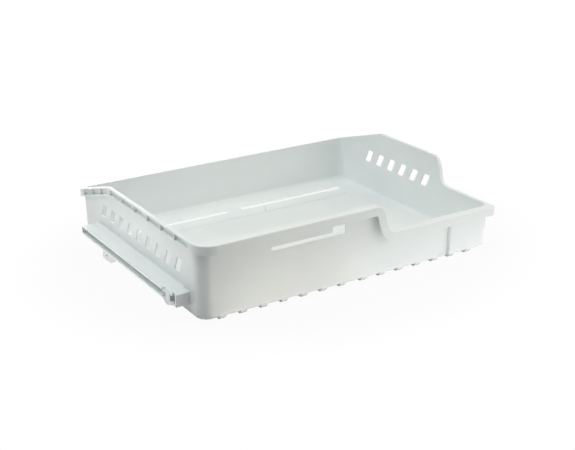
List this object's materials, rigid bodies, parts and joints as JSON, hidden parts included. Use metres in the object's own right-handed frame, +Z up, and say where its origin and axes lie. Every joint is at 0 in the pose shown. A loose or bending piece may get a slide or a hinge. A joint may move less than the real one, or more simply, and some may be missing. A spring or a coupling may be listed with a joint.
{
  "type": "freezer basket",
  "caption": "Shallow white moulded freezer basket with a stepped-down corner, slanted wall slots, ribbed side rims and channel rails on both sides to slide in a freezer.",
  "frame": {"origin": "under the middle of the basket, level with the underside of the floor ribs", "axes": "+X along the high wall towards the stepped-down corner, +Y from the high wall to the low wall, along the rails, +Z up"},
  "size_m": [0.66, 0.495, 0.1405],
  "materials": {
    "moulded_white_plastic": "satin moulded white"
  },
  "bodies": {
    "root": {"basket": "moulded_white_plastic"}
  },
  "joints": []
}
